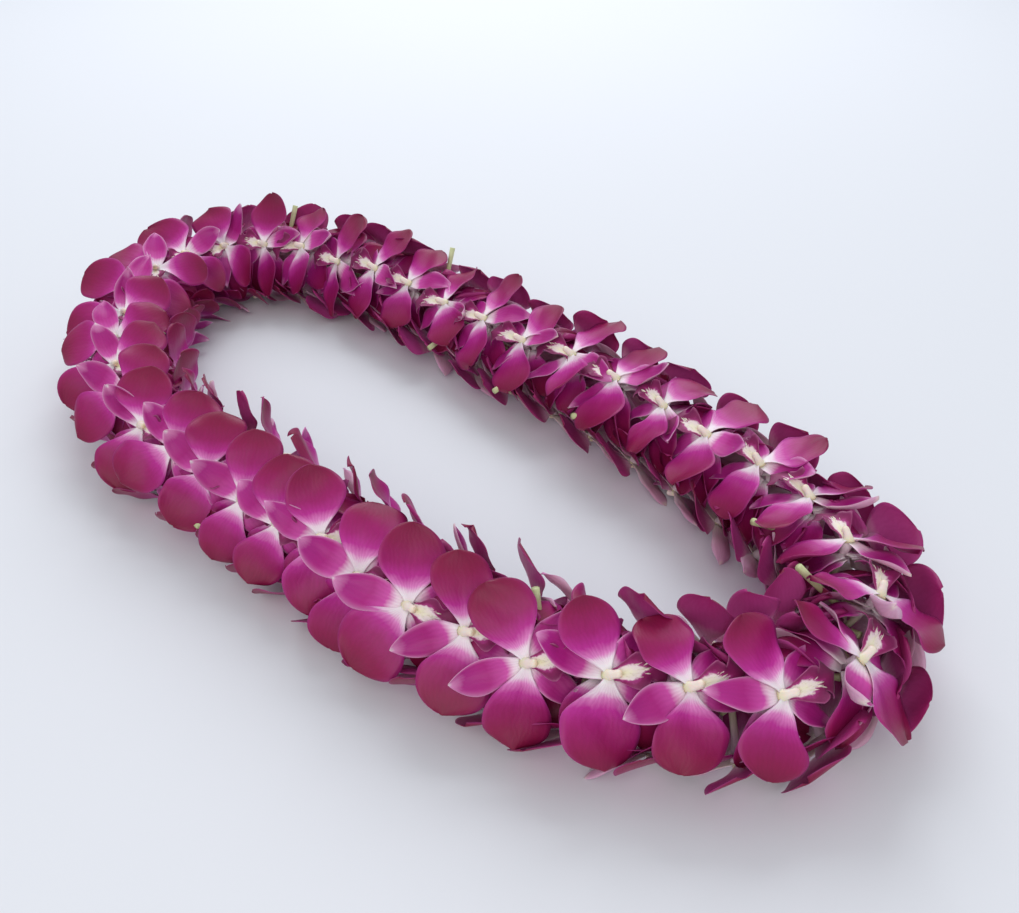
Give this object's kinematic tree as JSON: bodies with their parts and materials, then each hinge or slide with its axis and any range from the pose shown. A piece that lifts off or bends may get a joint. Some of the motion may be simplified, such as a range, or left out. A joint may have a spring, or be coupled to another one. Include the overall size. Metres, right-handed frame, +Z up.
{
  "type": "fresh flower lei",
  "caption": "Full round garland of fresh orchid blooms threaded on a knotted string into one long closed loop, worn round the neck; lies flat at rest.",
  "frame": {"origin": "under the middle of the lei, on the surface it lies on", "axes": "+X along the loop's long way, +Y across it, +Z up from the surface"},
  "size_m": [0.5207, 0.2494, 0.0629],
  "materials": {
    "petals": "satin",
    "string": "matte"
  },
  "bodies": {
    "root": {"string": "string", "whorl_01": "petals", "whorl_02": "petals", "whorl_03": "petals", "whorl_04": "petals", "whorl_05": "petals", "whorl_06": "petals", "whorl_07": "petals", "whorl_08": "petals", "whorl_09": "petals", "whorl_10": "petals", "whorl_11": "petals", "whorl_12": "petals", "whorl_13": "petals", "whorl_14": "petals", "whorl_15": "petals", "whorl_16": "petals", "whorl_17": "petals", "whorl_18": "petals", "whorl_19": "petals", "whorl_20": "petals", "whorl_21": "petals", "whorl_22": "petals", "whorl_23": "petals", "whorl_24": "petals", "whorl_25": "petals", "whorl_26": "petals", "whorl_27": "petals", "whorl_28": "petals", "whorl_29": "petals", "whorl_30": "petals", "whorl_31": "petals", "whorl_32": "petals", "whorl_33": "petals", "whorl_34": "petals", "whorl_35": "petals", "whorl_36": "petals", "whorl_37": "petals", "whorl_38": "petals"}
  },
  "joints": []
}
